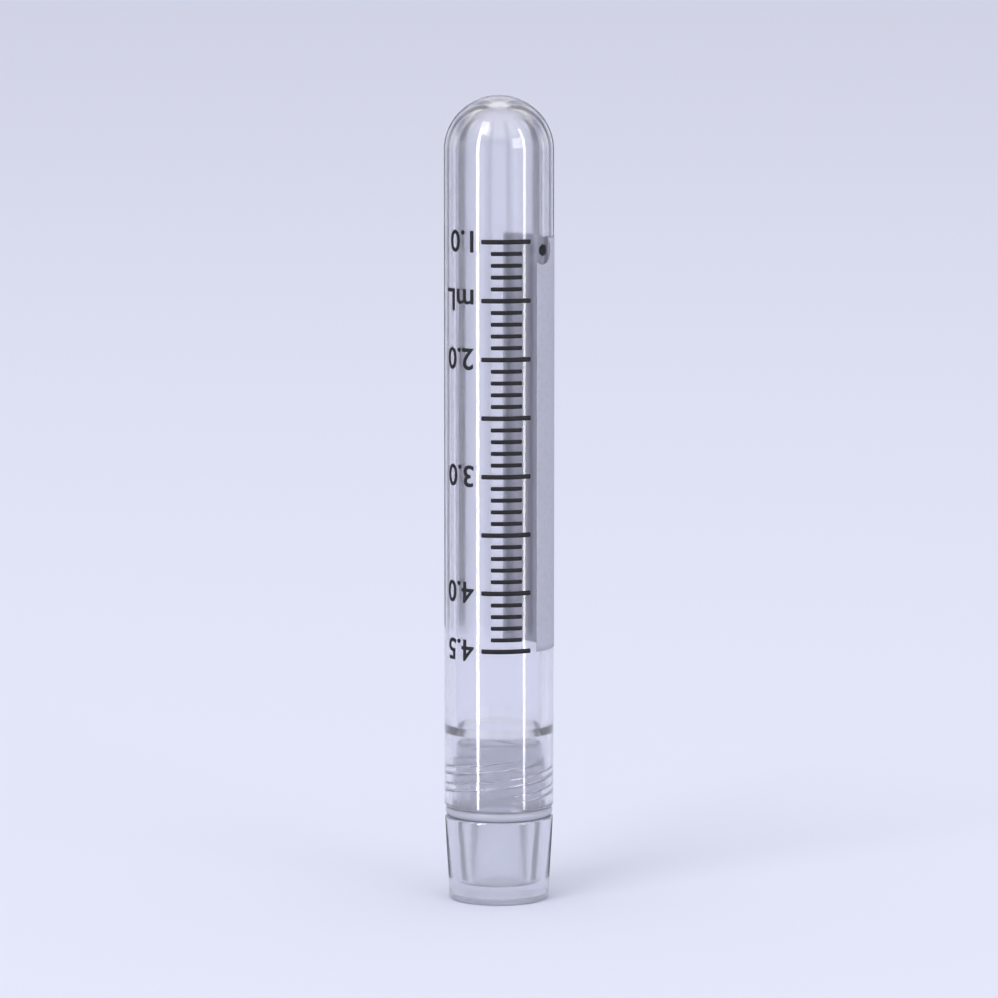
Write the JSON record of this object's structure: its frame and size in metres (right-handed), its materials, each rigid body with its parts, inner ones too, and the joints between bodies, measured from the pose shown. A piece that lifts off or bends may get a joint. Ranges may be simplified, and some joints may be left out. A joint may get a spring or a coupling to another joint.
{
  "type": "cryovial",
  "caption": "Capped round-bottom cryogenic sample tube in translucent plastic, with an inner screw thread, an O-ring seal, a printed scale and a white writing field.",
  "frame": {"origin": "centre of the cap's flat top face, on which the vial stands upside down", "axes": "+Z along the tube's axis, from the cap towards the round end; -Y is the front, through the middle of the printed ticks; +X is towards the white writing field"},
  "size_m": [0.0125, 0.0125, 0.092],
  "materials": {
    "tube_plastic": "clear natural polypropylene, smooth moulded",
    "cap_plastic": "milky natural polypropylene, smooth moulded",
    "ring_silicone": "translucent silicone rubber",
    "white_ink": "matt white screen-print ink",
    "black_ink": "matt black screen-print ink"
  },
  "bodies": {
    "cap": {"cap": "cap_plastic"},
    "seal": {"o_ring": "ring_silicone"},
    "vial": {"vial": "tube_plastic", "writing_patch": "white_ink", "graduation_print": "black_ink"}
  },
  "joints": [
    {"name": "unscrew_turn", "type": "hinge", "parent": "cap", "child": "seal", "pos_m": [0, 0, 0], "axis": [0, 0, 1], "range_deg": [0, 720]},
    {"name": "unscrew_lift", "type": "slide", "parent": "seal", "child": "vial", "axis": [0, 0, 1], "range_m": [0, 0.008]}
  ],
  "couplings": [
    {"joint": "unscrew_lift", "follows": "unscrew_turn", "m_per_rad": 0.00063662}
  ]
}
